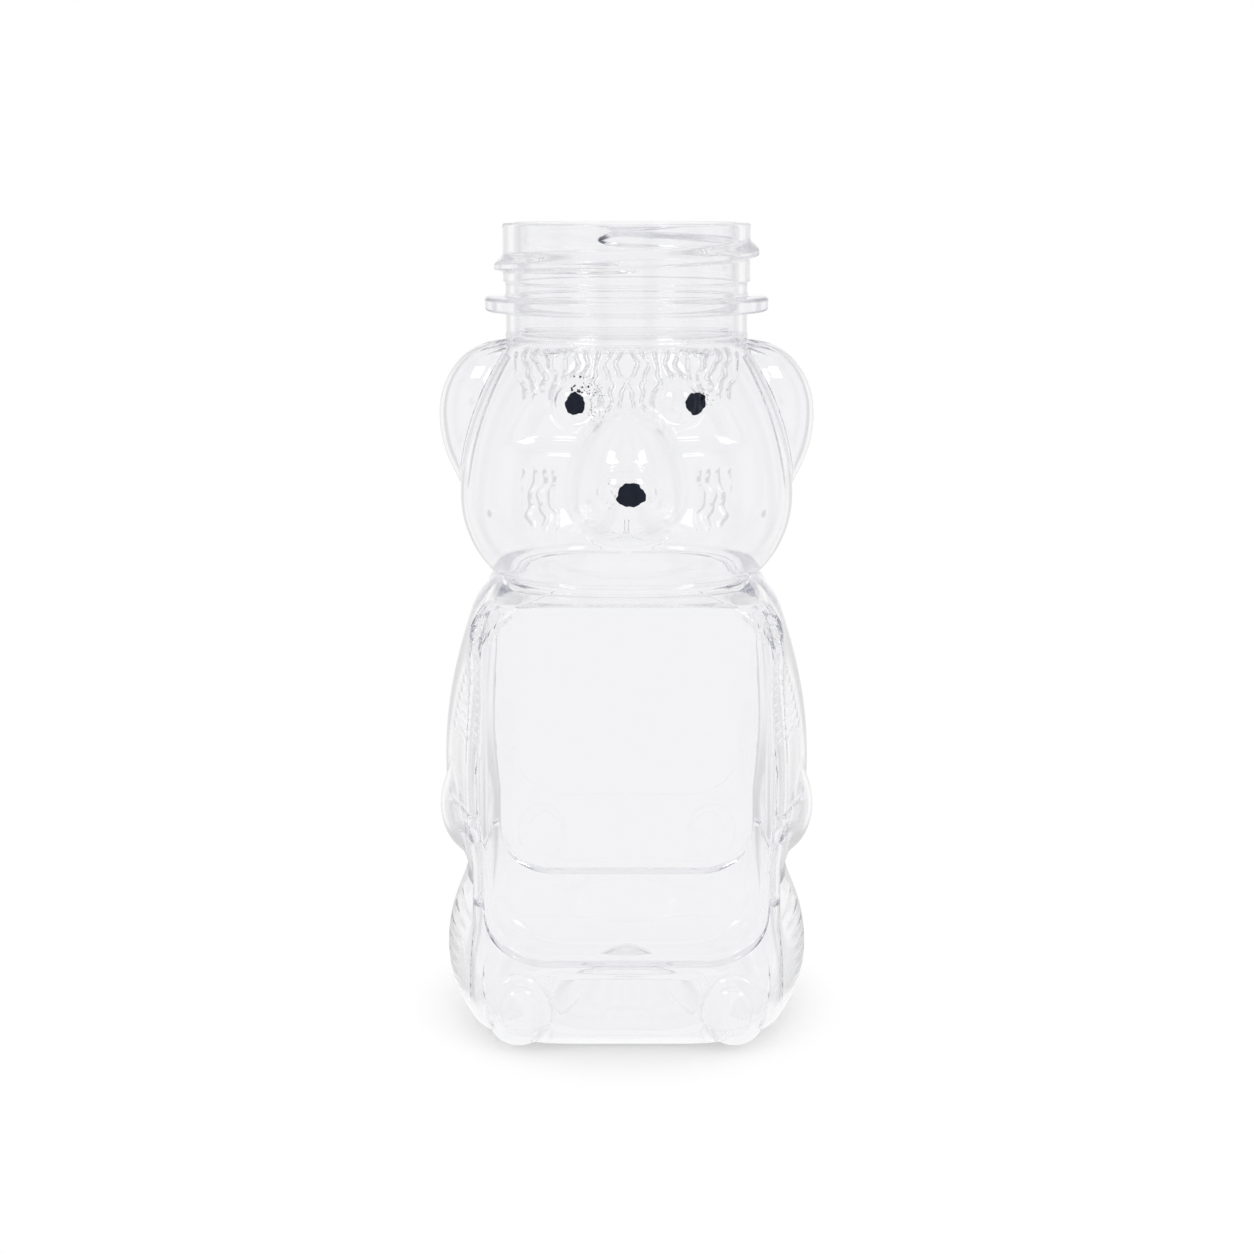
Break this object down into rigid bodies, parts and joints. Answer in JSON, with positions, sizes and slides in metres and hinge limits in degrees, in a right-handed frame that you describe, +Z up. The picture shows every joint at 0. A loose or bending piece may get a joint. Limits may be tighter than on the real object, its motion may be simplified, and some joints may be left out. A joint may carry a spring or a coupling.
{
  "type": "bear-shaped bottle",
  "caption": "Clear blown plastic honey bottle shaped as a sitting bear, with a threaded open neck, support ring, flat label panels and printed eyes and nose.",
  "frame": {"origin": "on the neck axis at the floor, in the middle of the standing edge", "axes": "+Z up along the neck axis, the face looks along -Y, +X to the right in the picture"},
  "size_m": [0.0534, 0.05, 0.1152],
  "materials": {
    "clear_pet": "clear blown polyester, glossy, colourless with a faint grey cast where it is thick",
    "navy_ink": "one thin coat of navy-black printing ink with ragged edges"
  },
  "bodies": {
    "root": {"neck_finish": "clear_pet", "neck_thread": "clear_pet", "support_ring": "clear_pet", "head": "clear_pet", "torso": "clear_pet", "base": "clear_pet", "left_eye": "navy_ink", "right_eye": "navy_ink", "nose": "navy_ink"}
  },
  "joints": []
}
